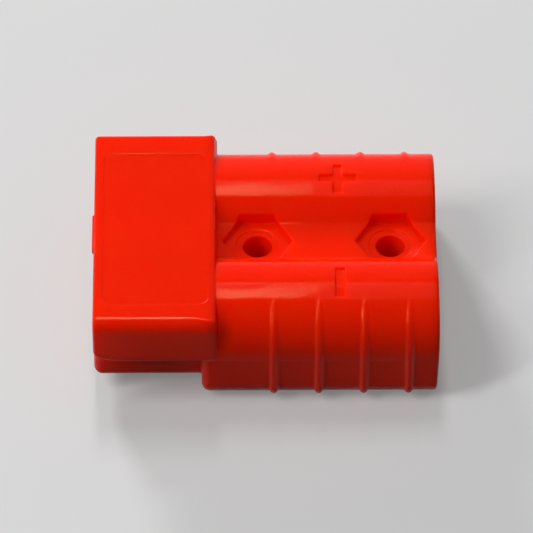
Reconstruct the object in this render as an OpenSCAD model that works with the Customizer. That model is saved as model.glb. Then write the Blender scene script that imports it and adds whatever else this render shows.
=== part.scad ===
// Genderless two-pole power connector: one moulded housing that mates with
// a copy of itself, two crimp contacts and the leaf springs that hold them.
// Millimetres, +Z up, origin at the centre of the base.
// The mating end faces -X and the wires enter at +X.

/* [Housing] */
// Length from the mating face to the wire end
housing_l = 48; // [46:1:58]
// Width across the barrels
body_w = 36; // [35:0.5:42]
// Height of the mating plane above the base
mate_h = 8; // [7.5:0.1:9]
// Radius of the lower long edges
base_r = 3.6; // [2:0.1:4]
// Radius of the edges round the wire end
rear_r = 0.5; // [0.3:0.1:0.8]
// Radius of the shoulder's corners under the hood
shoulder_edge_r = 1.2; // [0.6:0.1:1.6]

/* [Hood] */
// Width of the hood
hood_w = 36.3; // [36.2:0.1:44]
// Height of the hood's top above the mating plane
hood_h = 8; // [7.8:0.1:9]
// Length of the hood's top
hood_l = 17.1; // [16.5:0.1:19]
// Depth of the hood's cavity
cavity_l = 15; // [13:0.5:15.5]
// Thickness of the hood's roof
roof_t = 2; // [1.6:0.1:2.4]
// Thickness of the hood's side walls
side_t = 2.3; // [1.8:0.1:2.8]
// Gap from the mating plane up to the hood's lower edge
skirt_gap = 0.5; // [0.2:0.1:1]
// Radius of the hood's top long edges
hood_long_r = 1.5; // [0.8:0.1:1.8]
// Radius of the hood's top rear edge
hood_rear_r = 1.3; // [0.6:0.1:1.5]
// Radius of the hood's top front edge
hood_front_r = 0.9; // [0.4:0.1:1.2]
// Radius of the hood's upright corners
hood_corner_r = 0.8; // [0.4:0.1:1.2]
// Thickness of the partition between the two contacts
partition_t = 4; // [2.5:0.1:5]

/* [Hood panel] */
// Depth of the bare panel sunk in the hood's top
panel_depth = 0.15; // [0.1:0.05:0.4]
// Border from the hood's sides to the panel
panel_side = 4; // [3:0.1:6]
// Border from the hood's front and rear to the panel
panel_end = 1.3; // [1:0.1:3]
// Corner radius of the panel
panel_r = 1.4; // [0.5:0.1:2.5]

/* [Gate mark] */
// Width of the moulding gate's pad on the hood's front edge
gate_w = 6.2; // [3:0.1:8]
// Height of the gate's pad
gate_h = 1.3; // [0.8:0.1:1.5]
// How far the gate's pad stands proud
gate_t = 0.25; // [0.1:0.05:0.4]

/* [Tongue] */
// Running clearance between a tongue and its mate's hood
mate_clear = 0.15; // [0.1:0.05:0.3]
// Radius of the tongue's lower long edges
tongue_r = 2; // [1:0.1:2.4]
// Radius of the tongue's front edges
tongue_front_r = 0.8; // [0.4:0.1:1]
// Thickness of the lip in front of each blade
lip_t = 1.2; // [0.8:0.1:1.4]
// Height of that lip below the mating plane
lip_drop = 2; // [1.8:0.1:2.6]

/* [Barrels] */
// Distance between the two barrels' centres
barrel_pitch = 19.36; // [19:0.02:20]
// Height of the barrels' crests above the base
crest_h = 15.65; // [15.4:0.05:15.9]
// Radius of the crests
crest_r = 14; // [12:0.5:18]
// Radius of the outer shoulders
outer_r = 6; // [5:0.1:6.5]
// Radius of the flanks that fall to the valley
flank_r = 6; // [5:0.1:6.5]
// Width of the valley's floor
valley_w = 6.64; // [6:0.02:7.2]
// Height of the valley's floor above the base
valley_h = 13.26; // [12.8:0.02:13.8]

/* [Grip ribs] */
// Number of ribs on each side
rib_count = 4; // [2:1:4]
// Distance between ribs
rib_pitch = 6.28; // [5:0.02:6.4]
// Distance from the wire end to the last rib
rib_inset = 4.1; // [3:0.1:5]
// Width of a rib at its root
rib_w = 1.1; // [0.8:0.1:1.6]
// Height of a rib above the side
rib_h = 0.4; // [0.2:0.05:0.6]

/* [Bolt holes] */
// Diameter of the bolt holes
bolt_d = 4; // [3:0.1:4.4]
// Distance between the bolt holes
bolt_pitch = 18.64; // [17:0.02:19]
// Distance from the wire end to the rear bolt hole
bolt_inset = 6.47; // [5.6:0.01:7]
// Size of the nut pockets across flats
nut_af = 8.5; // [7:0.1:8.8]
// Depth of the nut pockets below the valley's floor
nut_depth = 1; // [0.6:0.1:1.6]
// Diameter of the ring sunk round each hole
ring_d = 6; // [5.5:0.1:6.6]
// Depth of that ring
ring_depth = 0.2; // [0.1:0.05:0.4]

/* [Wire entries] */
// Diameter of the wire entries
wire_d = 11.2; // [9:0.1:11.8]
// Depth of the wire entries
wire_depth = 11; // [8:0.5:12]
// Clearance round the contacts' crimp barrels
barrel_clear = 0.3; // [0.2:0.05:0.4]
// Solid wall between the hood's cavity and the crimp barrels' bores
web_t = 4; // [3:0.1:5]

/* [Contacts] */
// Width of a blade
blade_w = 8; // [6:0.1:8.4]
// Thickness of a blade
blade_t = 1.6; // [1.2:0.1:1.8]
// Distance from the mating face to a blade's tip
blade_back = 1.6; // [1.5:0.1:2.2]
// Thickness of the hook at a blade's tip
hook_t = 1.2; // [0.8:0.1:1.4]
// Length of the hook below the blade
hook_l = 1.5; // [1:0.1:1.7]
// Outside diameter of a crimp barrel
crimp_d = 8; // [7:0.1:8.4]
// Inside diameter of a crimp barrel
crimp_bore_d = 5.8; // [4:0.1:6]
// Length of a crimp barrel
crimp_l = 13; // [9:0.5:14]
// Depth of its bore
crimp_bore_l = 11; // [7:0.5:12]
// Length of the neck from the blade to the crimp barrel
neck_l = 4; // [3:0.5:5]
// Side clearance of a blade in its channel
blade_clear = 0.3; // [0.2:0.05:0.4]
// Clearance above a blade where it passes through the web
web_clear = 0.5; // [0.3:0.1:1]

/* [Springs] */
// Thickness of a leaf spring
spring_t = 0.5; // [0.3:0.05:0.6]
// Width of a leaf spring
spring_w = 6; // [4:0.1:6.8]
// Gap between a spring's free end and the blade's hook
spring_gap = 0.3; // [0.2:0.05:0.5]
// Length of a spring's seat on the tongue
seat_l = 4; // [3:0.5:5]
// Length of a spring's root held inside the web
root_l = 2.5; // [1.5:0.5:3]
// Length of the lip turned down at the free end
lip_l = 0.7; // [0.4:0.1:1]
// Depth of the relief that a spring bends into
relief_depth = 1.8; // [1.2:0.1:1.9]

/* [Hidden] */
$fn = 96;

moulded_red = [0.9, 0.1, 0.02];
silver_plate = [0.8, 0.8, 0.78];
stainless = [0.62, 0.64, 0.66];

past = 1;
overall_l = housing_l + gate_t;
rear_x = overall_l / 2;
front_x = rear_x - housing_l;
shoulder_x = front_x + cavity_l;
hood_rear_x = front_x + hood_l;
top_z = mate_h + hood_h;
roof_z = top_z - roof_t;
skirt_z = mate_h + skirt_gap;
cavity_half = hood_w / 2 - side_t;
tongue_half = cavity_half - mate_clear;
tongue_top = mate_h - mate_clear;
tongue_base = mate_h - (roof_z - mate_h) + mate_clear;
slot_half = partition_t / 2 + mate_clear;

pole_y = barrel_pitch / 2;
wire_z = crest_h / 2;
bore_front_x = shoulder_x + web_t;
wire_front_x = rear_x - wire_depth;
contact_bore_d = crimp_d + 2 * barrel_clear;

blade_z = mate_h - blade_t;
blade_front_x = front_x + blade_back;
channel_w = blade_w + 2 * blade_clear;
channel_front_x = front_x + lip_t;
spring_z = blade_z - spring_t;
spring_front_x = blade_front_x + hook_t + spring_gap;
relief_z = spring_z - relief_depth;

rib_last_x = rear_x - rib_inset;
bolt_rear_x = rear_x - bolt_inset;
nut_z = valley_h - nut_depth;
ring_z = nut_z - ring_depth;

// Where a circle of radius ra round a meets one of radius rb round b,
// on the right of the way from a to b
function meet(a, ra, b, rb) =
    let (d = b - a, l = norm(d), u = d / l)
    let (along = (ra * ra - rb * rb + l * l) / (2 * l))
    let (off = sqrt(ra * ra - along * along))
    a + along * u + off * [u.y, -u.x];

// Centres of the arcs of one barrel's outline. The smaller arcs stand this
// much proud of the crest's arc, so that each pair crosses at a clear point
arc_lap = 0.01;
crest_c = [pole_y, crest_h - crest_r];
outer_y = body_w / 2 - outer_r;
outer_c = [outer_y, crest_c.y + sqrt(pow(crest_r - outer_r + arc_lap, 2)
                                     - pow(outer_y - pole_y, 2))];
valley_edge = [valley_w / 2, valley_h];
flank_c = meet(valley_edge, flank_r, crest_c, crest_r - flank_r + arc_lap);

// Sets an outline of the YZ plane along X, from x
module along_x(x, length) {
    translate([x, 0, 0])
        rotate([90, 0, 90])
            linear_extrude(length)
                children();
}

// Sets an outline of the XZ plane along Y, centred on y
module along_y(y, width) {
    translate([0, y, 0])
        rotate([90, 0, 0])
            linear_extrude(width, center = true)
                children();
}

// A square from corner a to corner b
module span2(a, b) {
    translate(a)
        square(b - a);
}

// A rectangle from a to b whose corners have radius r
module rounded(a, b, r) {
    span2(a + [r, 0], b - [r, 0]);
    span2(a + [0, r], b - [0, r]);
    for (x = [a.x + r, b.x - r], y = [a.y + r, b.y - r])
        translate([x, y])
            circle(r);
}

// A box from corner a to corner b
module span3(a, b) {
    translate(a)
        cube(b - a);
}

// A round bar along X, from x
module bar_x(x, length, d, y, z) {
    translate([x, y, z])
        rotate([0, 90, 0])
            cylinder(h = length, d = d);
}

// The part of the crest's arc between the flank and the outer shoulder
module crest_sector() {
    reach = crest_r * 1.5;
    intersection() {
        translate(crest_c)
            circle(crest_r, $fn = 4 * $fn);
        polygon([crest_c,
                 crest_c + reach * (flank_c - crest_c) / norm(flank_c - crest_c),
                 crest_c + reach * (outer_c - crest_c) / norm(outer_c - crest_c)]);
    }
}

// One half of the body's outline, with its barrel on the side of +Y
module barrel_half() {
    half = body_w / 2;
    crest_sector();
    translate(flank_c)
        circle(flank_r);
    translate(outer_c)
        circle(outer_r);
    translate([half - base_r, base_r])
        circle(base_r);
    polygon([[0, 0], [half - base_r, 0], [half - base_r, base_r], [half, base_r],
             [half, outer_c.y], outer_c, crest_c + [0, crest_r / 2], flank_c,
             valley_edge, [0, valley_h]]);
}

module body_outline() {
    barrel_half();
    mirror([1, 0])
        barrel_half();
}

// The barrels with the web between them, rounded at both ends
module barrels() {
    half = body_w / 2;
    length = rear_x - shoulder_x;
    intersection() {
        along_x(shoulder_x, length)
            body_outline();
        linear_extrude(top_z)
            union() {
                rounded([shoulder_x, -half], [rear_x - shoulder_edge_r, half], shoulder_edge_r);
                rounded([shoulder_x + 2 * shoulder_edge_r, -half], [rear_x, half], rear_r);
            }
    }
}

// Outline of a rib on one side, proud of the barrel by h at the side
module rib_outline(h) {
    lean = 0.86;
    rise = 0.45;
    drop = 0.85;
    half = body_w / 2 + h;
    upper_r = outer_r - lean * h;
    lower_r = base_r - drop * h;
    upper = [half - upper_r, outer_c.y + rise * h];
    lower = [half - lower_r, lower_r];
    translate(upper)
        circle(upper_r);
    translate(lower)
        circle(lower_r);
    polygon([[pole_y, lower.y], [lower.x, 0], lower, [half, lower.y],
             [half, upper.y], upper, [pole_y, upper.y]]);
}

module ribs() {
    core = rib_w * 0.55;
    for (side = [0, 1], i = [0 : rib_count - 1])
        mirror([0, side, 0])
            translate([rib_last_x - i * rib_pitch, 0, 0]) {
                along_x(-rib_w / 2, rib_w)
                    rib_outline(rib_h * 0.6);
                along_x(-core / 2, core)
                    rib_outline(rib_h);
            }
}

// The hood's outer form, before its cavity is opened
module hood_block() {
    half = hood_w / 2;
    intersection() {
        along_x(front_x, hood_l)
            rounded([-half, -past - hood_long_r], [half, top_z], hood_long_r);
        along_y(0, hood_w + 2 * past)
            union() {
                rounded([front_x, skirt_z - past - 2 * hood_rear_r],
                        [hood_rear_x - 2 * hood_rear_r, top_z], hood_front_r);
                rounded([front_x + 2 * hood_rear_r, skirt_z - past - 2 * hood_rear_r],
                        [hood_rear_x, top_z], hood_rear_r);
            }
        translate([0, 0, skirt_z])
            linear_extrude(hood_h)
                rounded([front_x, -half], [hood_rear_x, half], hood_corner_r);
    }
}

// The two fingers that carry the blades, as one block before it is slotted
module tongue_block() {
    reach = shoulder_x + past - front_x;
    intersection() {
        along_x(front_x, reach)
            intersection() {
                rounded([-tongue_half, tongue_base], [tongue_half, top_z], tongue_r);
                span2([-tongue_half, 0], [tongue_half, tongue_top]);
            }
        along_y(0, hood_w)
            rounded([front_x, tongue_base], [shoulder_x + 2 * past, top_z], tongue_front_r);
        linear_extrude(top_z)
            rounded([front_x, -tongue_half], [shoulder_x + 2 * past, tongue_half],
                    tongue_front_r);
    }
}

// The hollow of the hood, left and right of its partition
module hood_cavity() {
    difference() {
        span3([front_x - past, -cavity_half, tongue_top], [shoulder_x, cavity_half, roof_z]);
        span3([front_x - 2 * past, -partition_t / 2, mate_h + mate_clear],
              [shoulder_x + past, partition_t / 2, top_z]);
    }
}

// Channel of one blade, the relief under its spring and the way to its bore
module pole_cuts(y) {
    half = channel_w / 2;
    seat_x = shoulder_x - seat_l;
    span3([channel_front_x, y - half, relief_z], [seat_x, y + half, mate_h]);
    span3([seat_x - past, y - half, spring_z], [bore_front_x + past, y + half, mate_h]);
    span3([shoulder_x - past, y - half, mate_h - past],
          [bore_front_x + past, y + half, mate_h + web_clear]);
    span3([front_x - past, y - half, mate_h - lip_drop], [seat_x, y + half, mate_h]);
    bar_x(bore_front_x, wire_front_x - bore_front_x + past, contact_bore_d, y, wire_z);
    bar_x(wire_front_x, wire_depth + past, wire_d, y, wire_z);
}

// Bolt hole with its nut pocket and sunk ring
module bolt_cuts(x) {
    translate([x, 0, -past])
        cylinder(h = top_z, d = bolt_d);
    translate([x, 0, ring_z])
        cylinder(h = top_z, d = ring_d);
    translate([x, 0, nut_z])
        cylinder(h = top_z, d = nut_af / cos(30), $fn = 6);
}

module panel_cut() {
    edge = hood_w / 2 - panel_side;
    translate([0, 0, top_z - panel_depth])
        linear_extrude(past)
            rounded([front_x + panel_end, -edge], [hood_rear_x - panel_end, edge], panel_r);
}

// Pad left by the moulding gate, on the front of the hood's roof
module gate_pad() {
    span3([front_x - gate_t, -gate_w / 2, roof_z],
          [front_x + gate_t, gate_w / 2, roof_z + gate_h]);
}

module housing() {
    color(moulded_red)
        union() {
            difference() {
                union() {
                    barrels();
                    ribs();
                    hood_block();
                    tongue_block();
                }
                hood_cavity();
                span3([front_x - past, -slot_half, -past], [shoulder_x, slot_half, mate_h]);
                for (y = [-pole_y, pole_y])
                    pole_cuts(y);
                for (x = [bolt_rear_x - bolt_pitch, bolt_rear_x])
                    bolt_cuts(x);
                panel_cut();
            }
            gate_pad();
        }
}

// Blade with its hooked tip, neck and crimp barrel
module contact(y) {
    crimp_x = bore_front_x + neck_l;
    skin = 0.1;
    color(silver_plate)
        difference() {
            union() {
                along_y(y, blade_w) {
                    intersection() {
                        translate([blade_front_x + blade_t, blade_z])
                            circle(blade_t);
                        span2([blade_front_x, blade_z],
                              [blade_front_x + blade_t, mate_h]);
                    }
                    span2([blade_front_x + blade_t, blade_z], [bore_front_x, mate_h]);
                    span2([blade_front_x, blade_z - hook_l],
                          [blade_front_x + hook_t, blade_z]);
                }
                hull() {
                    span3([bore_front_x - skin, y - blade_w / 2, blade_z],
                          [bore_front_x, y + blade_w / 2, mate_h]);
                    bar_x(crimp_x, skin, crimp_d, y, wire_z);
                }
                bar_x(crimp_x, crimp_l, crimp_d, y, wire_z);
            }
            bar_x(crimp_x + crimp_l - crimp_bore_l, crimp_bore_l + past, crimp_bore_d, y,
                  wire_z);
        }
}

// Leaf spring: its root is held under the web, its free end bears on the blade
module leaf_spring(y) {
    root_x = shoulder_x + root_l;
    color(stainless)
        along_y(y, spring_w)
            polygon([[root_x, spring_z], [root_x, blade_z],
                     [spring_front_x + lip_l, blade_z],
                     [spring_front_x, blade_z - lip_l],
                     [spring_front_x, blade_z - lip_l - spring_t],
                     [spring_front_x + lip_l, spring_z]]);
}

module contact_positive() {
    contact(pole_y);
}

module contact_negative() {
    contact(-pole_y);
}

module spring_positive() {
    leaf_spring(pole_y);
}

module spring_negative() {
    leaf_spring(-pole_y);
}

housing();
contact_positive();
contact_negative();
spring_positive();
spring_negative();
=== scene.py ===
"""Looks of the genderless power connector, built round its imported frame.

The housing and the contacts are meshed from distance fields, so that each
edge, fillet and moulded mark is a real surface. Fields are in millimetres
in the frame's own axes and negative inside the solid. Meshes, materials,
lamps and the floor are in metres, and angles are in degrees.
"""

import math

import bpy
import numpy as np
from mathutils import Matrix, Vector


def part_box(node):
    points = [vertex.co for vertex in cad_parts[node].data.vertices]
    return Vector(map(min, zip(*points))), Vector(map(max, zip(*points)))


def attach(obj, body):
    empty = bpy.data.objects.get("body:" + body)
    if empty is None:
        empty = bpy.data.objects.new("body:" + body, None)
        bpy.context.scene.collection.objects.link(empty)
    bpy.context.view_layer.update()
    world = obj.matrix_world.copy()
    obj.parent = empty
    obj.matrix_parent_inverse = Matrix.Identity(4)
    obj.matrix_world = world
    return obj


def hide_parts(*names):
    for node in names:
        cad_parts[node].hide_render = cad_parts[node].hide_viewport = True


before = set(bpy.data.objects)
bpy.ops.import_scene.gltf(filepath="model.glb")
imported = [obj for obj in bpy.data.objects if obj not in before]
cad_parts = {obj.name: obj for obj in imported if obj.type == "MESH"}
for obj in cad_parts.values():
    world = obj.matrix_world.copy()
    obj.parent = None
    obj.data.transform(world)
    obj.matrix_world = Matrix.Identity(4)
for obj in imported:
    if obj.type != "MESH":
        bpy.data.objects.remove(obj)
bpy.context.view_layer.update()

MM = 0.001
BODY = "root"


def box_mm(node):
    """Lowest and highest corner of a CAD node, in millimetres."""
    return [[value / MM for value in corner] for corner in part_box(node)]


# ----------------------------------------------------------- sizes, in mm

housing_low, housing_high = box_mm("housing")
contact_low = box_mm("contact_positive")[0]

# Pad left by the moulding gate, on the hood's front edge
GATE_T = 0.25
GATE_W = 6.2
GATE_H = 1.3
GATE_EDGE_R = 0.1
GATE_FACE_R = 0.12
GATE_FILLET_R = 0.08

# Grip ribs. The leans say how much the arcs that a rib follows shrink, and
# how much the upper one climbs, for each millimetre that the rib is high.
RIB_COUNT = 4
RIB_PITCH = 6.28
RIB_INSET = 4.1
RIB_W = 1.1
RIB_H = 0.4
RIB_UPPER_LEAN = 0.86
RIB_UPPER_RISE = 0.45
RIB_LOWER_LEAN = 0.85
RIB_FILLET_R = 0.22

# Housing, from the mating end at -X to the wire end at +X
REAR_X = housing_high[0]
FRONT_X = housing_low[0] + GATE_T
BODY_HALF = housing_high[1] - RIB_H
TOP_Z = housing_high[2]
MATE_Z = 8.0
BASE_R = 3.1
SHOULDER_EDGE_R = 1.2
REAR_R = 0.45
END_DRAFT = 0.02
SIDE_DRAFT = 0.006
PARTING_STEP = 0.04
PARTING_STEP_H = 0.12

# Hood. The photo shows softer edges on its near side than on its far side.
HOOD_HALF = 18.15
HOOD_L = 17.3
CAVITY_L = 15.0
ROOF_T = 2.0
SIDE_T = 2.3
SKIRT_GAP = 0.5
HOOD_NEAR_R = 1.6
HOOD_FAR_R = 1.0
HOOD_NEAR_REAR_R = 1.3
HOOD_FAR_REAR_R = 0.4
HOOD_CORNER_R = 0.6
HOOD_CORNER_H = 6.0
HOOD_CREASE_R = 0.28
HOOD_CREASE_W = 2.0
HOOD_REAR_LEAN = 0.33
HOOD_LEAN_H = 1.5
HOOD_DIP = 0.1
HOOD_DIP_L = 1.5
HOOD_SWOOP_L = 3.4
HOOD_SWOOP_H = 1.2
HOOD_SKIRT_R = 0.3
HOOD_FRONT_R = 0.55
HOOD_FILLET_R = 0.12
CAVITY_ROOF_R = 0.5
CAVITY_END_R = 0.4
CAVITY_MOUTH_R = 0.25
PARTITION_HALF = 2.0
PARTITION_FOOT_R = 0.4
PARTITION_END_R = 0.3
PARTITION_FILLET_R = 0.35

# Bare panel sunk in the hood's top
PANEL_DEPTH = 0.12
PANEL_SIDE = 4.0
PANEL_END = 1.3
PANEL_R = 1.4
PANEL_FLOOR_R = 0.05
PANEL_EDGE_R = 0.08

# Tongue
MATE_CLEAR = 0.15
TONGUE_R = 1.6
TONGUE_TOP_R = 0.25
TONGUE_FRONT_R = 1.2
TONGUE_FILLET_R = 0.3
SLOT_END_R = 0.5
SLOT_EDGE_R = 0.3
LIP_T = 1.2
LIP_DROP = 2.0
LIP_EDGE_R = 0.2

# Barrels
POLE_Y = 9.68
CREST_Z = 15.65
CREST_R = 14.0
OUTER_R = 6.0
FLANK_R = 6.0
VALLEY_HALF = 3.32
VALLEY_Z = 13.26
VALLEY_FILLET_R = 0.15

# Bolt holes, the rings sunk round them and their nut pockets
BOLT_R = 2.0
BOLT_PITCH = 18.64
BOLT_INSET = 6.47
BOLT_EDGE_R = 0.18
NUT_AF = 8.5
NUT_DEPTH = 1.0
NUT_FLOOR_R = 0.12
NUT_EDGE_R = 0.2
RING_R = 3.0
RING_DEPTH = 0.2
RING_EDGE_R = 0.1

# Bores and channels
WIRE_R = 5.6
WIRE_DEPTH = 11.0
WIRE_EDGE_R = 0.35
BORE_END_R = 0.3
BORE_EDGE_R = 0.2
BARREL_CLEAR = 0.3
WEB_T = 4.0
WEB_CLEAR = 0.5
BLADE_CLEAR = 0.3
SEAT_L = 4.0
SEAT_FLOOR_R = 0.2
RELIEF_DEPTH = 1.8
RELIEF_R = 0.3
CHANNEL_EDGE_R = 0.15

# Contacts and springs
BLADE_W = 8.0
BLADE_T = 1.6
BLADE_EDGE_R = 0.2
HOOK_T = 1.2
HOOK_L = 1.5
HOOK_EDGE_R = 0.25
HOOK_FILLET_R = 0.2
CRIMP_R = 4.0
CRIMP_L = 13.0
CRIMP_END_R = 0.25
CRIMP_BORE_R = 2.9
CRIMP_BORE_L = 11.0
CRIMP_FLOOR_R = 0.5
CRIMP_MOUTH_R = 0.2
NECK_L = 4.0
SPRING_T = 0.5
SPRING_EDGE = 0.08

# The + and the -, sunk in the crests
MARK_X = 10.4
MARK_HALF = 2.6
MARK_ARM_HALF = 0.64
MARK_DEPTH = 0.35
MARK_PLUS_SHIFT = 0.12
MARK_CORNER_R = 0.1
MARK_FLOOR_R = 0.14
MARK_EDGE_R = 0.16

# How far a shape runs on into its neighbour, or a cut out of the solid
LAP = 1
# Where a barrel's outline closes inside the web: past the middle, and under
# the valley's floor by this much
PAST_MIDDLE_Y = -4.0
VALLEY_SUNK = 1.5

# Number of straight steps in an arc of an outline
ARC_STEPS = 24

# Places that follow from the sizes
SHOULDER_X = FRONT_X + CAVITY_L
HOOD_REAR_X = FRONT_X + HOOD_L
ROOF_Z = TOP_Z - ROOF_T
SKIRT_Z = MATE_Z + SKIRT_GAP
CAVITY_HALF = HOOD_HALF - SIDE_T
TONGUE_HALF = CAVITY_HALF - MATE_CLEAR
TONGUE_TOP = MATE_Z - MATE_CLEAR
TONGUE_BASE = 2 * MATE_Z - ROOF_Z + MATE_CLEAR
SLOT_HALF = PARTITION_HALF + MATE_CLEAR
WIRE_Z = CREST_Z / 2
BORE_FRONT_X = SHOULDER_X + WEB_T
WIRE_FRONT_X = REAR_X - WIRE_DEPTH
BLADE_Z = MATE_Z - BLADE_T
BLADE_FRONT_X = contact_low[0]
CRIMP_X = BORE_FRONT_X + NECK_L
SPRING_Z = BLADE_Z - SPRING_T
SEAT_X = SHOULDER_X - SEAT_L
BOLT_XS = (REAR_X - BOLT_INSET - BOLT_PITCH, REAR_X - BOLT_INSET)
NUT_Z = VALLEY_Z - NUT_DEPTH


# ------------------------------------------------------- distance fields


def join(a, b, r):
    """Union of two fields with a fillet of radius r."""
    u = np.maximum(r - a, 0)
    v = np.maximum(r - b, 0)
    return np.maximum(r, np.minimum(a, b)) - np.sqrt(u * u + v * v)


def both(a, b, r):
    """Intersection of two fields with an edge of radius r."""
    u = np.maximum(r + a, 0)
    v = np.maximum(r + b, 0)
    return np.minimum(-r, np.maximum(a, b)) + np.sqrt(u * u + v * v)


def carve(a, b, r):
    """Field a with field b cut out of it, with an edge of radius r."""
    return both(a, -b, r)


def span(value, low, high):
    """Field of the slab between low and high."""
    return np.maximum(low - value, value - high)


def arc(centre, radius, start, end):
    """Points on an arc in the YZ plane, angles from +Y towards +Z."""
    turns = np.radians(np.linspace(start, end, ARC_STEPS + 1))
    return [(centre[0] + radius * math.cos(t),
             centre[1] + radius * math.sin(t)) for t in turns]


def outline_field(points, y, z):
    """Signed distance in the YZ plane to a closed outline."""
    nearest = np.full(np.broadcast(y, z).shape, np.inf)
    inside = np.zeros(nearest.shape, bool)
    for (y0, z0), (y1, z1) in zip(points, points[1:] + points[:1]):
        dy, dz = y1 - y0, z1 - z0
        if dy == 0 and dz == 0:
            continue
        along = ((y - y0) * dy + (z - z0) * dz) / (dy * dy + dz * dz)
        along = np.clip(along, 0, 1)
        off = (y - y0 - along * dy) ** 2 + (z - z0 - along * dz) ** 2
        nearest = np.minimum(nearest, off)
        if dz != 0:
            crosses = (z0 > z) != (z1 > z)
            inside ^= crosses & (y < y0 + (z - z0) * dy / dz)
    return np.where(inside, -1, 1) * np.sqrt(nearest)


def barrel_arcs():
    """Centres of the arcs of a barrel's crest, outer shoulder and flank."""
    crest = (POLE_Y, CREST_Z - CREST_R)
    outer_y = BODY_HALF - OUTER_R
    reach = CREST_R - OUTER_R
    rise = math.sqrt(reach ** 2 - (outer_y - POLE_Y) ** 2)
    outer = (outer_y, crest[1] + rise)
    # The flank's arc passes through the valley's edge and touches the crest's
    gap_y, gap_z = crest[0] - VALLEY_HALF, crest[1] - VALLEY_Z
    gap = math.hypot(gap_y, gap_z)
    reach = CREST_R - FLANK_R
    along = (FLANK_R ** 2 - reach ** 2 + gap ** 2) / (2 * gap)
    off = math.sqrt(FLANK_R ** 2 - along ** 2)
    flank = (VALLEY_HALF + (along * gap_y - off * gap_z) / gap,
             VALLEY_Z + (along * gap_z + off * gap_y) / gap)
    return crest, outer, flank


def turn_from(centre, point):
    """Angle of the way from one point to another, from +Y towards +Z."""
    return math.degrees(math.atan2(point[1] - centre[1], point[0] - centre[0]))


def barrel_points():
    """Outline of one barrel, whose inner side runs on past the middle."""
    crest, outer, flank = barrel_arcs()
    outer_turn = turn_from(crest, outer)
    flank_turn = turn_from(crest, flank)
    sunk_z = VALLEY_Z - VALLEY_SUNK
    sunk_turn = 180 - math.degrees(math.asin((sunk_z - flank[1]) / FLANK_R))
    return ([(PAST_MIDDLE_Y, 0), (BODY_HALF - BASE_R, 0)]
            + arc((BODY_HALF - BASE_R, BASE_R), BASE_R, -90, 0)
            + arc(outer, OUTER_R, 0, outer_turn)
            + arc(crest, CREST_R, outer_turn, flank_turn)
            + arc(flank, FLANK_R, flank_turn, sunk_turn)
            + [(PAST_MIDDLE_Y, sunk_z)])


def rib_points():
    """Outline that a grip rib follows round a barrel's outer side."""
    outer = barrel_arcs()[1]
    half = BODY_HALF + RIB_H
    upper_r = OUTER_R - RIB_UPPER_LEAN * RIB_H
    lower_r = BASE_R - RIB_LOWER_LEAN * RIB_H
    upper = (half - upper_r, outer[1] + RIB_UPPER_RISE * RIB_H)
    lower = (half - lower_r, lower_r)
    return ([(POLE_Y, 0)]
            + arc(lower, lower_r, -90, 0)
            + arc(upper, upper_r, 0, 90)
            + [(POLE_Y, upper[1] + upper_r)])


def hexagon_field(x, y, flats):
    """Field of a hexagon with two corners on the X axis."""
    slant = math.cos(math.radians(30))
    leaned = np.abs(x) * slant + np.abs(y) * 0.5
    return np.maximum(leaned, np.abs(y)) - flats / 2


def drafted(side, z):
    """Distance from the middle, with what the sides lose to the draft and
    to the step below the parting line added to it."""
    below = SKIRT_Z - z
    step = PARTING_STEP * np.clip(below / PARTING_STEP_H, 0, 1)
    return side + SIDE_DRAFT * np.maximum(below, 0) + step


def barrels_field(x, side, z):
    """The two barrels and the web between them."""
    barrel = outline_field(barrel_points(), drafted(side, z), z)
    web = np.maximum(side - POLE_Y, z - VALLEY_Z)
    web = np.maximum(web, -z)
    body = join(barrel, web, VALLEY_FILLET_R)
    body = both(body, SHOULDER_X - x, SHOULDER_EDGE_R)
    lean = END_DRAFT * np.maximum(SKIRT_Z - z, 0)
    return both(body, x - REAR_X + lean, REAR_R)


def ribs_field(x, side, z):
    """The grip ribs, as round beads along their outline."""
    bead_r = RIB_W / 2
    outline = outline_field(rib_points(), drafted(side, z), z)
    depth = np.maximum(outline + bead_r, 0)
    last_x = REAR_X - RIB_INSET
    first_x = last_x - (RIB_COUNT - 1) * RIB_PITCH
    turn = np.clip(np.round((x - first_x) / RIB_PITCH), 0, RIB_COUNT - 1)
    off = x - first_x - turn * RIB_PITCH
    return np.sqrt(depth * depth + off * off) - bead_r


def hood_block_field(x, y, side, z):
    """The hood's solid block, before the cavity is cut."""
    lean = np.clip(z - TOP_Z + HOOD_LEAN_H, 0, HOOD_LEAN_H)
    rear = x - HOOD_REAR_X + HOOD_REAR_LEAN * lean
    # The rear corners grow from one radius at the skirt to each side's own
    upper_r = np.where(y > 0, HOOD_FAR_REAR_R, HOOD_NEAR_REAR_R)
    upward = np.clip((z - SKIRT_Z) / HOOD_CORNER_H, 0, 1)
    rear_r = HOOD_CORNER_R + (upper_r - HOOD_CORNER_R) * upward
    walls = both(side - HOOD_HALF, rear, rear_r)
    # The top's edge is soft along the sides and crisp along the rear
    at_rear = np.clip((rear - side + HOOD_HALF) / HOOD_CREASE_W + 0.5, 0, 1)
    edge_r = np.where(y > 0, HOOD_FAR_R, HOOD_NEAR_R)
    edge_r = edge_r + (HOOD_CREASE_R - edge_r) * at_rear
    top = z - TOP_Z + HOOD_DIP * np.clip(x - HOOD_REAR_X + HOOD_DIP_L, 0, 1)
    block = both(walls, top, edge_r)
    # The skirt's lower edge rises in a curve towards the front
    swoop = np.clip((FRONT_X + HOOD_SWOOP_L - x) / HOOD_SWOOP_L, 0, 1)
    skirt = SKIRT_Z + HOOD_SWOOP_H * swoop ** 2 - z
    block = both(block, skirt, HOOD_SKIRT_R)
    return both(block, FRONT_X - x, HOOD_FRONT_R)


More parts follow.
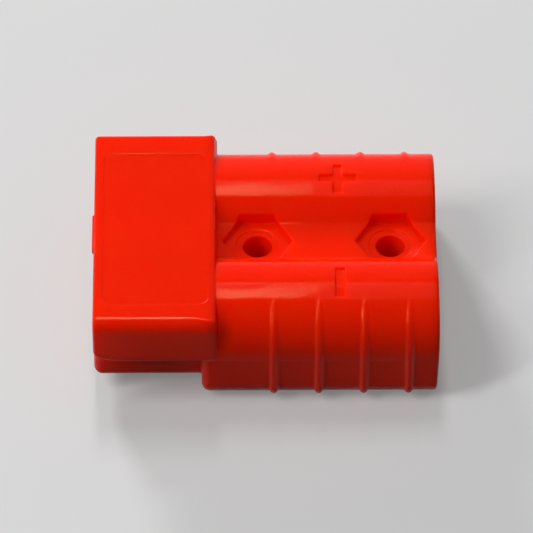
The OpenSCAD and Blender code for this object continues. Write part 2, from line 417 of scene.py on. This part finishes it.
def hood_field(x, y, side, z):
    """The hollow hood with its partition and the gate's pad."""
    cavity = both(side - CAVITY_HALF, z - ROOF_Z, CAVITY_ROOF_R)
    cavity = both(cavity, x - SHOULDER_X, CAVITY_END_R)
    hood = carve(hood_block_field(x, y, side, z), cavity, CAVITY_MOUTH_R)
    partition = both(side - PARTITION_HALF, MATE_Z + MATE_CLEAR - z,
                     PARTITION_FOOT_R)
    partition = np.maximum(partition, z - ROOF_Z - ROOF_T / 2)
    partition = both(partition, span(x, FRONT_X, SHOULDER_X + LAP),
                     PARTITION_END_R)
    hood = join(hood, partition, PARTITION_FILLET_R)
    pad = both(side - GATE_W / 2, span(z, ROOF_Z, ROOF_Z + GATE_H),
               GATE_EDGE_R)
    pad = both(pad, span(x, FRONT_X - GATE_T, FRONT_X + LAP), GATE_FACE_R)
    return join(hood, pad, GATE_FILLET_R)


def tongue_field(x, side, z):
    """The tongue under the hood, with the slot between its two fingers."""
    tongue = both(side - TONGUE_HALF, TONGUE_BASE - z, TONGUE_R)
    tongue = both(tongue, z - TONGUE_TOP, TONGUE_TOP_R)
    tongue = both(tongue, span(x, FRONT_X, SHOULDER_X + LAP), TONGUE_FRONT_R)
    slot = both(side - SLOT_HALF, x - SHOULDER_X, SLOT_END_R)
    return carve(tongue, slot, SLOT_EDGE_R)


def pole_cuts(solid, x, side, z):
    """Cuts the blade's channel, the way through the web and the bores."""
    off = np.abs(side - POLE_Y)
    channel = off - BLADE_W / 2 - BLADE_CLEAR
    relief = both(channel, SPRING_Z - RELIEF_DEPTH - z, RELIEF_R)
    relief = both(relief, span(x, FRONT_X + LIP_T, SEAT_X), RELIEF_R)
    relief = np.maximum(relief, z - MATE_Z)
    solid = carve(solid, relief, CHANNEL_EDGE_R)
    seat = np.maximum(both(channel, SPRING_Z - z, SEAT_FLOOR_R),
                      span(x, SEAT_X - LAP, BORE_FRONT_X + LAP))
    roof_z = np.where(x < SHOULDER_X, MATE_Z, MATE_Z + WEB_CLEAR)
    solid = carve(solid, np.maximum(seat, z - roof_z), CHANNEL_EDGE_R)
    lip = np.maximum(channel, span(x, FRONT_X - 2 * LAP, SEAT_X))
    lip = np.maximum(lip, span(z, MATE_Z - LIP_DROP, MATE_Z))
    solid = carve(solid, lip, LIP_EDGE_R)
    round_off = np.sqrt(off * off + (z - WIRE_Z) ** 2)
    bore = both(round_off - CRIMP_R - BARREL_CLEAR, BORE_FRONT_X - x,
                BORE_END_R)
    solid = carve(solid, np.maximum(bore, x - REAR_X - LAP), BORE_EDGE_R)
    entry = both(round_off - WIRE_R, WIRE_FRONT_X - x, BORE_END_R)
    return carve(solid, np.maximum(entry, x - REAR_X - LAP), WIRE_EDGE_R)


def bolt_cuts(solid, x, y, z):
    """Cuts the bolt holes, the sunk rings round them and the nut pockets."""
    for bolt_x in BOLT_XS:
        off_x = x - bolt_x
        round_off = np.sqrt(off_x * off_x + y * y)
        pocket = both(hexagon_field(off_x, y, NUT_AF), NUT_Z - z, NUT_FLOOR_R)
        solid = carve(solid, pocket, NUT_EDGE_R)
        ring = both(round_off - RING_R, NUT_Z - RING_DEPTH - z, RING_EDGE_R)
        solid = carve(solid, ring, RING_EDGE_R)
        solid = carve(solid, round_off - BOLT_R, BOLT_EDGE_R)
    return solid


def panel_cut(solid, x, side, z):
    """Cuts the bare panel into the hood's top."""
    edge = HOOD_HALF - PANEL_SIDE
    panel = both(side - edge,
                 span(x, FRONT_X + PANEL_END, HOOD_REAR_X - PANEL_END),
                 PANEL_R)
    panel = both(panel, TOP_Z - PANEL_DEPTH - z, PANEL_FLOOR_R)
    return carve(solid, panel, PANEL_EDGE_R)


def mark_cuts(solid, barrels, x, y, z):
    """Cuts the + and the - into the crests, their floors parallel to them."""
    floor = -(barrels + MARK_DEPTH)
    off_x, off_y = np.abs(x - MARK_X), np.abs(y - POLE_Y - MARK_PLUS_SHIFT)
    across = both(off_x - MARK_HALF, off_y - MARK_ARM_HALF, MARK_CORNER_R)
    along = both(off_x - MARK_ARM_HALF, off_y - MARK_HALF, MARK_CORNER_R)
    plus = np.minimum(across, along)
    minus = both(off_x - MARK_ARM_HALF, np.abs(y + POLE_Y) - MARK_HALF,
                 MARK_CORNER_R)
    mark = np.maximum(np.minimum(plus, minus), MATE_Z - z)
    return carve(solid, both(mark, floor, MARK_FLOOR_R), MARK_EDGE_R)


def housing_field(x, y, z):
    """The whole moulded housing."""
    side = np.abs(y)
    barrels = barrels_field(x, side, z)
    solid = join(barrels, ribs_field(x, side, z), RIB_FILLET_R)
    solid = join(solid, hood_field(x, y, side, z), HOOD_FILLET_R)
    solid = join(solid, tongue_field(x, side, z), TONGUE_FILLET_R)
    solid = pole_cuts(solid, x, side, z)
    solid = bolt_cuts(solid, x, y, z)
    solid = panel_cut(solid, x, side, z)
    return mark_cuts(solid, barrels, x, y, z)


def contact_field(x, y, z):
    """One contact, centred on y = 0: hooked blade, neck and crimp barrel."""
    side = np.abs(y)
    tip_x = BLADE_FRONT_X + BLADE_T
    blade = both(side - BLADE_W / 2, span(z, BLADE_Z, MATE_Z), BLADE_EDGE_R)
    nose = np.sqrt(np.maximum(tip_x - x, 0) ** 2
                   + np.maximum(z - BLADE_Z, 0) ** 2) - BLADE_T
    blade = both(blade, np.where(x < tip_x, nose, BLADE_FRONT_X - x),
                 BLADE_EDGE_R)
    hook = both(side - BLADE_W / 2,
                span(x, BLADE_FRONT_X, BLADE_FRONT_X + HOOK_T), HOOK_EDGE_R)
    hook = both(hook, span(z, BLADE_Z - HOOK_L, MATE_Z - BLADE_T / 2),
                HOOK_EDGE_R)
    round_off = np.sqrt(y * y + (z - WIRE_Z) ** 2)
    crimp = round_off - CRIMP_R
    # The neck turns smoothly from the blade's section into the barrel's
    turn = np.clip((x - BORE_FRONT_X) / NECK_L, 0, 1)
    turn = turn * turn * (3 - 2 * turn)
    shank = blade * (1 - turn) + crimp * turn
    shank = both(shank, x - CRIMP_X - CRIMP_L, CRIMP_END_R)
    shank = join(shank, hook, HOOK_FILLET_R)
    floor_x = CRIMP_X + CRIMP_L - CRIMP_BORE_L
    bore = both(round_off - CRIMP_BORE_R, floor_x - x, CRIMP_FLOOR_R)
    return carve(shank, bore, CRIMP_MOUTH_R)


# --------------------------------------------------------- field to mesh

CORNERS = [(i, j, k) for i in (0, 1) for j in (0, 1) for k in (0, 1)]
CELL_EDGES = [(a, b) for a in range(8) for b in range(a + 1, 8)
              if sum(p != q for p, q in zip(CORNERS[a], CORNERS[b])) == 1]

# Room round the box that is sampled, in steps of the grid
GRID_MARGIN = 2.5
# Distance over which a slope is taken, in mm, and the least slope used
SLOPE_REACH = 0.04
SLOPE_LEAST = 0.2
# Times that the thinned mesh is moved onto the field's surface
SETTLE_STEPS = 2

HOUSING_STEP = 0.15
CONTACT_STEP = 0.1
HOUSING_TRIANGLES = 190000
CONTACT_TRIANGLES = 40000


def sampled(field, low, high, step):
    """The field on a regular grid round a box, and the grid's low corner."""
    margin = GRID_MARGIN * step
    low = [value - margin for value in low]
    counts = [math.ceil((high[i] + margin - low[i]) / step) + 1
              for i in range(3)]
    axes = [(low[i] + step * np.arange(counts[i])).astype(np.float32)
            for i in range(3)]
    grid = np.meshgrid(*axes, indexing="ij", sparse=True)
    return field(*grid), np.array(low)


def quads_along(solid, number, axis):
    """Quads round the grid's edges along one axis that cross the surface."""
    first = np.take(solid, range(solid.shape[axis] - 1), axis)
    second = np.take(solid, range(1, solid.shape[axis]), axis)
    places = np.argwhere(first != second)
    u, v = (axis + 1) % 3, (axis + 2) % 3
    ring = []
    for back_u, back_v in ((1, 1), (0, 1), (0, 0), (1, 0)):
        cell = places.copy()
        cell[:, u] -= back_u
        cell[:, v] -= back_v
        ring.append(number[tuple(cell.T)])
    quads = np.stack(ring, axis=1)
    return np.where(first[tuple(places.T)][:, None], quads, quads[:, ::-1])


def surface_net(values, low, step):
    """Corners and quads of a field's surface: one corner in each cell that
    the surface crosses, at the mean of where it crosses the cell's edges."""
    solid = values < 0
    shape = [count - 1 for count in values.shape]
    inside = np.zeros(shape, np.int8)
    for i, j, k in CORNERS:
        inside += solid[i:i + shape[0], j:j + shape[1], k:k + shape[2]]
    cells = np.argwhere((inside > 0) & (inside < 8))
    corner = [values[tuple((cells + place).T)] for place in CORNERS]
    total = np.zeros((len(cells), 3))
    hits = np.zeros((len(cells), 1))
    for a, b in CELL_EDGES:
        crosses = ((corner[a] < 0) != (corner[b] < 0))[:, None]
        drop = np.where(crosses[:, 0], corner[a] - corner[b], 1)
        part = (corner[a] / drop)[:, None]
        start, end = np.array(CORNERS[a]), np.array(CORNERS[b])
        total += np.where(crosses, start + part * (end - start), 0)
        hits += crosses
    number = np.full(shape, -1)
    number[tuple(cells.T)] = np.arange(len(cells))
    quads = [quads_along(solid, number, axis) for axis in range(3)]
    return low + step * (cells + total / hits), np.concatenate(quads)


def slope(field, points):
    """Unit normals of a field at points, and how steeply it rises there."""
    rise = [field(*(points + SLOPE_REACH * axis).T)
            - field(*(points - SLOPE_REACH * axis).T) for axis in np.eye(3)]
    rise = np.stack(rise, axis=1) / (2 * SLOPE_REACH)
    steep = np.linalg.norm(rise, axis=1, keepdims=True)
    steep = np.maximum(steep, SLOPE_LEAST)
    return rise / steep, steep


def added(name, data):
    """A new object with this data, in the scene."""
    obj = bpy.data.objects.new(name, data)
    bpy.context.scene.collection.objects.link(obj)
    return obj


def meshed(name, field, low, high, step, triangles):
    """An object whose mesh follows a field and stays inside a box, thinned
    to a number of triangles."""
    corners, quads = surface_net(*sampled(field, low, high, step), step)
    mesh = bpy.data.meshes.new(name)
    mesh.from_pydata((corners * MM).tolist(), [], quads.tolist())
    obj = added(name, mesh)
    thin = obj.modifiers.new("thin", "DECIMATE")
    thin.ratio = min(1, triangles / (2 * len(quads)))
    graph = bpy.context.evaluated_depsgraph_get()
    thinned = bpy.data.meshes.new_from_object(obj.evaluated_get(graph))
    obj.modifiers.clear()
    obj.data = thinned
    bpy.data.meshes.remove(mesh)
    thinned.name = name
    points = np.empty(len(thinned.vertices) * 3)
    thinned.vertices.foreach_get("co", points)
    points = points.reshape(-1, 3) / MM
    for _ in range(SETTLE_STEPS):
        normals, steep = slope(field, points)
        points -= normals * field(*points.T)[:, None] / steep
        points = np.clip(points, low, high)
    normals = slope(field, points)[0]
    thinned.vertices.foreach_set("co", (points * MM).ravel())
    smooth = [True] * len(thinned.polygons)
    thinned.polygons.foreach_set("use_smooth", smooth)
    thinned.update()
    thinned.normals_split_custom_set_from_vertices(normals.tolist())
    return obj


# -------------------------------------------------------------- materials

# Colours are linear, with alpha
RED_DEEP = (0.93, 0.0110, 0.0, 1)
RED_LIGHT = (0.98, 0.0140, 0.0001, 1)
RED_SHEEN = (1.0, 0.4, 0.17, 1)
PLATE_DARK = (0.66, 0.63, 0.57, 1)
PLATE_LIGHT = (0.86, 0.85, 0.81, 1)
STEEL_DARK = (0.50, 0.49, 0.47, 1)
STEEL_LIGHT = (0.62, 0.62, 0.62, 1)

# Stretch of each crest, in metres, whose highlight has slanted polish marks:
# it comes in between two heights, goes out above two others and keeps to the
# crest's near side
BAND_FOOT_Z = (0.01526, 0.01533)
BAND_HEAD_Z = (0.0157, 0.0158)
BAND_SIDE_Y = (0.0088, 0.0095)
# The highlight frays out towards the wire end and towards its upper edge
FRAY_X = (0.003, 0.010)
FRAY_Z = (0.01550, 0.01564)
FRAY_EDGE = (0.42, 0.58)
FRAY_ROUGHNESS = 0.42
POLISH_TURN = 58

# Ranges that the noises are spread from, and the whole range of a fraction
WIDE = (0.3, 0.7)
MIDDLE = (0.35, 0.65)
NARROW = (0.4, 0.6)
WHOLE = (0, 1)

# Heights of the bumps, in metres
WAVE_BUMP = 0.0000025
PATCH_BUMP = 0.000005
POLISH_BUMP = 0.000003
GRAIN_BUMP = 0.0000012
PLATE_CLOUD_BUMP = 0.00002
PLATE_LINE_BUMP = 0.000004
STEEL_BUMP = 0.000003

# The floor's own shade, what it adds where a ray sees it, and the shade with
# which it lights the connector
FLOOR = 0.48
FLOOR_CLOUD = 1.01
FLOOR_GLOW = 0.18
FLOOR_BOUNCE = 0.10

# Strength of the sky at the horizon and overhead, and where a ray sees it
AMBIENT_LOW = 0.03
AMBIENT_HIGH = 0.20
BACKGROUND = 0.7


def grey(level):
    """A neutral colour."""
    return (level, level, level, 1)


class Nodes:
    """Adds nodes to a tree and feeds them values or other nodes."""

    def __init__(self, tree):
        self.tree = tree
        self.coords = self.add("ShaderNodeTexCoord").outputs
        self.place = self.coords["Object"]

    def add(self, kind, inputs=None, **settings):
        """A new node with these inputs and settings."""
        node = self.tree.nodes.new(kind)
        for key, value in settings.items():
            setattr(node, key, value)
        self.feed(node, inputs or {})
        return node

    def feed(self, node, inputs):
        """Links each input to a socket, or sets it to a value."""
        for key, value in inputs.items():
            if isinstance(value, bpy.types.NodeSocket):
                self.tree.links.new(value, node.inputs[key])
            else:
                node.inputs[key].default_value = value

    def noise(self, scale, detail, rough, distort=0.0, at=None):
        """Noise from 0 to 1."""
        return self.add("ShaderNodeTexNoise", {
            "Vector": at or self.place, "Scale": scale, "Detail": detail,
            "Roughness": rough, "Distortion": distort}).outputs["Fac"]

    def turned(self, turn, scale):
        """The place, scaled and turned round Z."""
        return self.add("ShaderNodeMapping", {
            "Vector": self.place, "Rotation": [0, 0, math.radians(turn)],
            "Scale": scale}).outputs["Vector"]

    def spread(self, value, low_high, to_low_high):
        """A value taken from one range to another, and kept inside it."""
        return self.add("ShaderNodeMapRange", {
            "Value": value, "From Min": low_high[0], "From Max": low_high[1],
            "To Min": to_low_high[0],
            "To Max": to_low_high[1]}).outputs["Result"]

    def maths(self, operation, a, b):
        """Two values put through a Math node."""
        node = self.add("ShaderNodeMath", {0: a, 1: b}, operation=operation)
        return node.outputs[0]

    def mixed(self, factor, a, b):
        """A colour between a at 0 and b at 1."""
        node = self.add("ShaderNodeMix", data_type="RGBA")
        self.feed(node, {0: factor, 6: a, 7: b})
        return node.outputs[2]

    def bump(self, height, distance, under=None):
        """A normal tilted by bumps, over another one where that is given."""
        inputs = {"Height": height, "Distance": distance, "Strength": 1.0}
        if under is not None:
            inputs["Normal"] = under
        return self.add("ShaderNodeBump", inputs).outputs["Normal"]

    def seen(self):
        """1 where a camera, glossy or transmission ray meets this, else 0."""
        path = self.add("ShaderNodeLightPath").outputs
        either = self.maths("ADD", path["Is Camera Ray"],
                            path["Is Glossy Ray"])
        any_ray = self.maths("ADD", either, path["Is Transmission Ray"])
        return self.maths("MINIMUM", any_ray, 1.0)


class Shading(Nodes):
    """A new material and the nodes that feed its Principled BSDF."""

    def __init__(self, name):
        self.material = bpy.data.materials.new(name)
        self.material.use_nodes = True
        super().__init__(self.material.node_tree)
        self.shader = self.tree.nodes["Principled BSDF"]

    def finished(self, **inputs):
        """The material, with the shader's sockets fed by name."""
        self.feed(self.shader, {
            key.replace("_", " "): value for key, value in inputs.items()})
        return self.material


def crest_band(s, at):
    """1 on the stretch of both crests with polish marks, and 0 elsewhere."""
    # The crests are this far apart, so one stripe serves both
    stripe = s.maths("FLOORED_MODULO", at["Y"], 2 * POLE_Y * MM)
    band = s.maths("MULTIPLY", s.spread(at["Z"], BAND_FOOT_Z, WHOLE),
                   s.spread(stripe, BAND_SIDE_Y, (1, 0)))
    return s.maths("MULTIPLY", band, s.spread(at["Z"], BAND_HEAD_Z, (1, 0)))


def frayed(s, at, slant):
    """Extra roughness that ends the crests' highlights in ragged edges."""
    tears = s.noise(scale=620, detail=3, rough=0.6)
    ragged = s.maths("ADD", s.spread(tears, WIDE, (-0.6, 0.6)),
                     s.spread(slant, WHOLE, (-0.2, 0.2)))
    out = s.maths("MAXIMUM", s.spread(at["X"], FRAY_X, WHOLE),
                  s.spread(at["Z"], FRAY_Z, (-0.2, 1.1)))
    return s.spread(s.maths("ADD", out, ragged), FRAY_EDGE,
                    (0, FRAY_ROUGHNESS))


def moulded_plastic():
    """Glossy red plastic with flow shades, fine grain and polish marks."""
    s = Shading("moulded_red")
    at = s.add("ShaderNodeSeparateXYZ", {"Vector": s.place}).outputs
    flow = s.noise(scale=70, detail=3, rough=0.55, distort=0.6)
    speck = s.noise(scale=2600, detail=2, rough=0.6)
    waves = s.noise(scale=150, detail=2, rough=0.5)
    patches = s.noise(scale=330, detail=1, rough=0.4, distort=0.3)
    grain = s.noise(scale=3400, detail=3, rough=0.6)
    shade = s.maths("ADD", s.spread(flow, WIDE, (0, 0.8)),
                    s.spread(speck, MIDDLE, (-0.1, 0.2)))
    slant = s.add("ShaderNodeTexWave", {
        "Vector": s.turned(POLISH_TURN, (1, 1, 1)), "Scale": 640.0,
        "Distortion": 2.5, "Detail": 2.0, "Detail Scale": 1.5},
        bands_direction="Y").outputs["Fac"]
    band = crest_band(s, at)
    rough = s.maths("ADD", s.spread(flow, WIDE, (0.03, 0.045)),
                    s.spread(slant, WHOLE, (-0.005, 0.01)))
    rough = s.maths("ADD", rough,
                    s.maths("MULTIPLY", frayed(s, at, slant), band))
    normal = s.bump(waves, WAVE_BUMP)
    for height, distance in ((patches, PATCH_BUMP), (slant, POLISH_BUMP)):
        normal = s.bump(s.maths("MULTIPLY", height, band), distance, normal)
    normal = s.bump(grain, GRAIN_BUMP, normal)
    return s.finished(
        Base_Color=s.mixed(shade, RED_DEEP, RED_LIGHT), Roughness=rough,
        Normal=normal, IOR=1.5, Specular_IOR_Level=0.12,
        Specular_Tint=RED_SHEEN, Subsurface_Weight=1.0,
        Subsurface_Radius=(1.0, 0.08, 0.03), Subsurface_Scale=0.003)


def plated_copper():
    """Silver plate, slightly uneven, with stamping lines along the blade."""
    s = Shading("silver_plate")
    cloud = s.noise(scale=160, detail=4, rough=0.6)
    lines = s.noise(scale=1, detail=3, rough=0.6,
                    at=s.turned(4, (260, 6200, 6200)))
    rough = s.maths("ADD", s.spread(cloud, WIDE, (0.24, 0.36)),
                    s.spread(lines, NARROW, (-0.03, 0.05)))
    return s.finished(
        Base_Color=s.mixed(s.spread(cloud, MIDDLE, WHOLE),
                           PLATE_DARK, PLATE_LIGHT),
        Roughness=rough, Metallic=1.0,
        Normal=s.bump(lines, PLATE_LINE_BUMP,
                      s.bump(cloud, PLATE_CLOUD_BUMP)))


def spring_steel():
    """Rolled stainless strip with a fine grain along its length."""
    s = Shading("spring_steel")
    grain = s.noise(scale=1, detail=4, rough=0.65,
                    at=s.turned(0, (180, 9000, 9000)))
    heat = s.noise(scale=220, detail=2, rough=0.5)
    return s.finished(
        Base_Color=s.mixed(s.spread(heat, MIDDLE, WHOLE),
                           STEEL_DARK, STEEL_LIGHT),
        Roughness=s.spread(grain, WIDE, (0.22, 0.40)),
        Normal=s.bump(grain, STEEL_BUMP), Metallic=1.0)


def floor_paper():
    """Pale paper that looks paler than the light that it throws back."""
    s = Shading("floor_paper")
    cloud = s.noise(scale=9, detail=2, rough=0.5)
    seen = s.seen()
    pale = s.mixed(cloud, grey(FLOOR), grey(FLOOR * FLOOR_CLOUD))
    return s.finished(
        Base_Color=s.mixed(seen, grey(FLOOR_BOUNCE), pale),
        Emission_Color=grey(1), Specular_IOR_Level=0.2,
        Emission_Strength=s.maths("MULTIPLY", seen, FLOOR_GLOW),
        Roughness=s.spread(cloud, WHOLE, (0.7, 0.8)))


def studio_world():
    """A dim dome, brighter overhead, that rays see as a pale background."""
    world = bpy.data.worlds.new("studio")
    world.use_nodes = True
    n = Nodes(world.node_tree)
    at = n.add("ShaderNodeSeparateXYZ", {0: n.coords["Generated"]}).outputs
    dome = n.spread(at["Z"], WHOLE, (AMBIENT_LOW, AMBIENT_HIGH))
    n.feed(n.tree.nodes["Background"], {
        "Color": grey(1),
        "Strength": n.spread(n.seen(), WHOLE, (dome, BACKGROUND))})
    return world


# ------------------------------------------------------------------ pieces


def coated(obj, material):
    """Gives a piece its only material."""
    obj.data.materials.clear()
    obj.data.materials.append(material)


def build_pieces():
    """The housing, and each pole's contact and spring."""
    plastic, plate, steel = moulded_plastic(), plated_copper(), spring_steel()
    housing = meshed("housing_moulded", housing_field, housing_low,
                     housing_high, HOUSING_STEP, HOUSING_TRIANGLES)
    coated(housing, plastic)
    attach(housing, BODY)
    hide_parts("housing")
    for pole, turn in (("positive", 1), ("negative", -1)):
        def field(x, y, z):
            return contact_field(x, y - turn * POLE_Y, z)
        node = "contact_" + pole
        contact = meshed(node + "_plated", field, *box_mm(node),
                         CONTACT_STEP, CONTACT_TRIANGLES)
        coated(contact, plate)
        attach(contact, BODY)
        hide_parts(node)
        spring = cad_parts["spring_" + pole]
        spring.data.materials.clear()
        spring.data.materials.append(steel)
        edge = spring.modifiers.new("edge", "BEVEL")
        edge.width = SPRING_EDGE * MM
        edge.segments = 2


# ------------------------------------------------------- camera and light

# Camera: angles in degrees, distances and lens in mm
CAMERA_AZIMUTH = -0.82
CAMERA_HEIGHT = 48.302
CAMERA_ROLL = 0.38
CAMERA_AWAY = 729.8
CAMERA_TARGET = (0.31, -0.177, 8.0)
CAMERA_LENS = 349.8
CAMERA_SENSOR = 36
CAMERA_SEES_M = (0.01, 50)

# Softbox: tilted from overhead towards +Y. Its half angle sets how deep it
# is, and its end how far along X the crests mirror it.
SOFTBOX_RADIANCE = 22.0
SOFTBOX_TILT = 27
SOFTBOX_AWAY = 1.2
SOFTBOX_WIDTH = 0.12
SOFTBOX_HALF_ANGLE = 10.3
SOFTBOX_END_X = 0.02

# Key lamp, low behind the connector: height, and angle from +Y towards -X
KEY_RADIANCE = 72.0
KEY_HEIGHT = 19
KEY_TURN = 22
KEY_AWAY = 1.6
KEY_SIZE = (0.34, 0.24)

# Slanted strip that streaks the near ribs: for each end, the angle from -X
# towards +Y and the height
STRIP_RADIANCE = 20.0
STRIP_ENDS = ((6, 68), (-27, 28))
STRIP_AWAY = 1.2
STRIP_WIDTH = 0.14

FLOOR_HALF = 3.0


def direction(turn, height):
    """Direction at an angle from -X towards +Y, and a height."""
    turn, height = math.radians(turn), math.radians(height)
    return Vector((-math.cos(turn) * math.cos(height),
                   math.sin(turn) * math.cos(height), math.sin(height)))


def axes_turn(x_axis, y_axis, z_axis):
    """The turn that takes an object's axes to these."""
    return Matrix((x_axis, y_axis, z_axis)).transposed().to_quaternion()


def build_camera():
    """The camera that was fitted to the photo."""
    azimuth, height, roll = (math.radians(angle) for angle in (
        CAMERA_AZIMUTH, CAMERA_HEIGHT, CAMERA_ROLL))
    back = Vector((math.sin(azimuth) * math.cos(height),
                   -math.cos(azimuth) * math.cos(height), math.sin(height)))
    right = Vector((math.cos(azimuth), math.sin(azimuth), 0))
    up = back.cross(right)
    across = math.cos(roll) * right + math.sin(roll) * up
    upward = math.cos(roll) * up - math.sin(roll) * right
    data = bpy.data.cameras.new("camera")
    data.sensor_width = CAMERA_SENSOR
    data.lens = CAMERA_LENS
    data.clip_start, data.clip_end = CAMERA_SEES_M
    camera = added("camera", data)
    camera.rotation_mode = "QUATERNION"
    camera.rotation_quaternion = axes_turn(across, upward, back)
    camera.location = (Vector(CAMERA_TARGET) + CAMERA_AWAY * back) * MM
    bpy.context.scene.camera = camera


def area_lamp(name, towards, away, middle, size, radiance):
    """A rectangular lamp of even radiance that faces a point."""
    data = bpy.data.lights.new(name, "AREA")
    data.shape = "RECTANGLE"
    data.size, data.size_y = size
    data.energy = radiance * math.pi * size[0] * size[1]
    lamp = added(name, data)
    lamp.location = towards * away + Vector(middle)
    lamp.rotation_mode = "QUATERNION"
    lamp.rotation_quaternion = towards.to_track_quat("Z", "Y")
    return lamp


def build_lamps():
    """Softbox for the crests, key lamp from behind, strip for the ribs."""
    half_angle = math.radians(SOFTBOX_HALF_ANGLE)
    depth = 2 * SOFTBOX_AWAY * math.tan(half_angle)
    area_lamp("softbox", direction(90, 90 - SOFTBOX_TILT), SOFTBOX_AWAY,
              (SOFTBOX_END_X - SOFTBOX_WIDTH / 2, 0, 0),
              (SOFTBOX_WIDTH, depth), SOFTBOX_RADIANCE)
    area_lamp("key", direction(90 - KEY_TURN, KEY_HEIGHT), KEY_AWAY,
              (0, 0, 0), KEY_SIZE, KEY_RADIANCE)
    high, low = (direction(*end) for end in STRIP_ENDS)
    across = (high - low).normalized()
    facing = (high + low).normalized()
    strip = area_lamp("strip", facing, STRIP_AWAY, (0, 0, 0),
                      ((high - low).length * STRIP_AWAY, STRIP_WIDTH),
                      STRIP_RADIANCE)
    strip.rotation_quaternion = axes_turn(across, facing.cross(across),
                                          facing)


def build_floor():
    """The pale floor that keeps the connector's shadow."""
    mesh = bpy.data.meshes.new("floor")
    mesh.from_pydata([(side * FLOOR_HALF, end * FLOOR_HALF, 0)
                      for side, end in ((-1, -1), (1, -1), (1, 1), (-1, 1))],
                     [], [(0, 1, 2, 3)])
    floor = added("floor", mesh)
    floor.data.materials.append(floor_paper())


bpy.context.scene.view_settings.view_transform = "Standard"
build_pieces()
build_camera()
build_lamps()
bpy.context.scene.world = studio_world()
build_floor()

bpy.context.view_layer.update()
